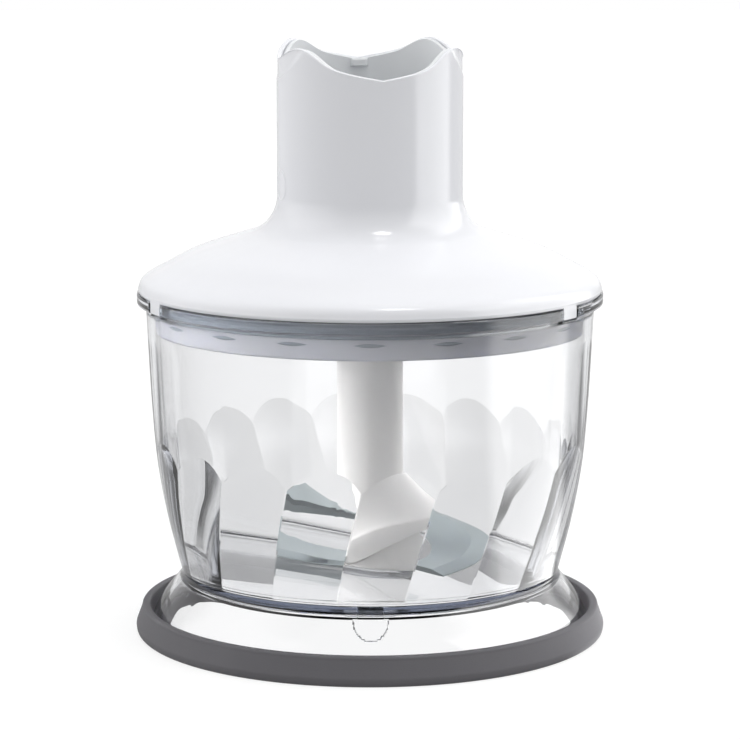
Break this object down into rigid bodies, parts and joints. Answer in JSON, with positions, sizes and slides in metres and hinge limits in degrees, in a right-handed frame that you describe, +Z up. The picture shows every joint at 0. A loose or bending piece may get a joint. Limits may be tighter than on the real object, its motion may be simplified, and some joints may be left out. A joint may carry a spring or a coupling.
{
  "type": "food processor chopper attachment",
  "caption": "Clear facetted chopper bowl on a rubber foot ring, with a two-bladed hub on a centre pin and a white geared lid with a socket for a hand blender's motor part.",
  "frame": {"origin": "centre of the foot ring's underside, on the surface that the bowl stands on", "axes": "+Z up along the bowl's and the blades' axis, front towards -Y"},
  "size_m": [0.14, 0.14, 0.1755],
  "materials": {
    "clear_plastic": "clear, glossy, moulded",
    "foot_rubber": "matt grey, non-slip",
    "white_gloss": "glossy white",
    "white_satin": "satin white",
    "grey_tint": "translucent lavender grey, smooth",
    "seal_rubber": "soft slate grey",
    "blade_steel": "polished, with a ground edge",
    "steel": "turned",
    "brass": "turned, oiled",
    "gear_plastic": "natural white, greased",
    "dark_plastic": "dark grey, glass-filled"
  },
  "bodies": {
    "bowl_unit": {"bowl": "clear_plastic", "foot_ring": "foot_rubber", "centre_pin": "steel"},
    "bush": {"pin_bush": "brass"},
    "blades": {"blade_hub": "white_satin", "upper_blade": "blade_steel", "lower_blade": "blade_steel", "drive_insert": "dark_plastic"},
    "lid": {"lid_shell": "white_gloss", "socket_cup": "white_satin", "gear_cover": "grey_tint", "ring_gear": "gear_plastic", "lid_seal": "seal_rubber", "shaft_seal": "seal_rubber", "output_bush": "brass", "input_bush": "brass", "cover_screw_1": "steel", "cover_screw_2": "steel", "cover_screw_3": "steel", "cover_screw_4": "steel"},
    "input": {"input_shaft": "steel", "sun_gear": "steel", "drive_dog": "dark_plastic", "shaft_clip": "steel"},
    "carrier": {"planet_carrier": "dark_plastic", "carrier_cap": "dark_plastic", "output_shaft": "steel", "planet_pin_1": "steel", "planet_pin_2": "steel", "planet_pin_3": "steel"},
    "planet_1": {"planet_gear_1": "gear_plastic"},
    "planet_2": {"planet_gear_2": "gear_plastic"},
    "planet_3": {"planet_gear_3": "gear_plastic"}
  },
  "joints": [
    {"name": "blade_lift", "type": "slide", "parent": "bowl_unit", "child": "bush", "axis": [0, 0, 1], "range_m": [0, 0.09]},
    {"name": "blade_spin", "type": "hinge", "parent": "bush", "child": "blades", "pos_m": [0, 0, 0.05], "axis": [0, 0, 1], "continuous": true},
    {"name": "lid_lift", "type": "slide", "parent": "bush", "child": "lid", "axis": [0, 0, 1], "range_m": [0, 0.09]},
    {"name": "input_spin", "type": "hinge", "parent": "lid", "child": "input", "pos_m": [0, 0, 0.11], "axis": [0, 0, 1], "continuous": true},
    {"name": "carrier_spin", "type": "hinge", "parent": "lid", "child": "carrier", "pos_m": [0, 0, 0.1], "axis": [0, 0, 1], "continuous": true},
    {"name": "planet_1_spin", "type": "hinge", "parent": "carrier", "child": "planet_1", "pos_m": [0.0135, 0, 0.1056], "axis": [0, 0, 1], "continuous": true},
    {"name": "planet_2_spin", "type": "hinge", "parent": "carrier", "child": "planet_2", "pos_m": [-0.00675, 0.01169, 0.1056], "axis": [0, 0, 1], "continuous": true},
    {"name": "planet_3_spin", "type": "hinge", "parent": "carrier", "child": "planet_3", "pos_m": [-0.00675, -0.01169, 0.1056], "axis": [0, 0, 1], "continuous": true}
  ],
  "couplings": [
    {"joint": "carrier_spin", "follows": "blade_spin", "ratio": 1},
    {"joint": "input_spin", "follows": "blade_spin", "ratio": 4.5},
    {"joint": "planet_1_spin", "follows": "blade_spin", "ratio": -2.8},
    {"joint": "planet_2_spin", "follows": "blade_spin", "ratio": -2.8},
    {"joint": "planet_3_spin", "follows": "blade_spin", "ratio": -2.8}
  ]
}
